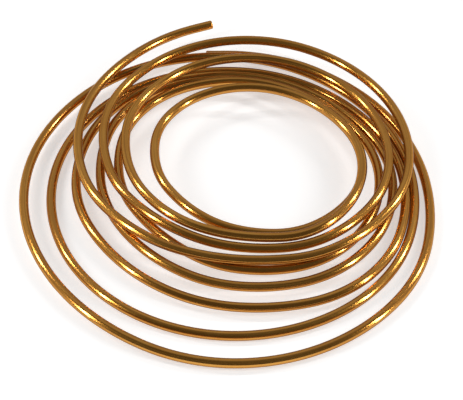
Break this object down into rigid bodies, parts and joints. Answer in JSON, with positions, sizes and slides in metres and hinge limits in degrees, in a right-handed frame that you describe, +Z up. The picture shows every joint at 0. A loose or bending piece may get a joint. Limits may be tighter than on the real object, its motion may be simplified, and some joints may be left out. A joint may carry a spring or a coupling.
{
  "type": "copper tube coil",
  "caption": "Loose coil of soft annealed copper tube, wound in open flat turns that lie on each other, with both ends cut square.",
  "frame": {"origin": "centre of the bounding box at floor level, under the coil's lowest turn", "axes": "+Z up, the coil's own axis; +Y to the coil's back, where the tube's two ends are; +X to its right as seen from the front"},
  "size_m": [0.435, 0.4801, 0.0376],
  "materials": {
    "copper": "bright drawn copper, lightly tarnished"
  },
  "bodies": {
    "root": {"copper_tube": "copper"}
  },
  "joints": []
}
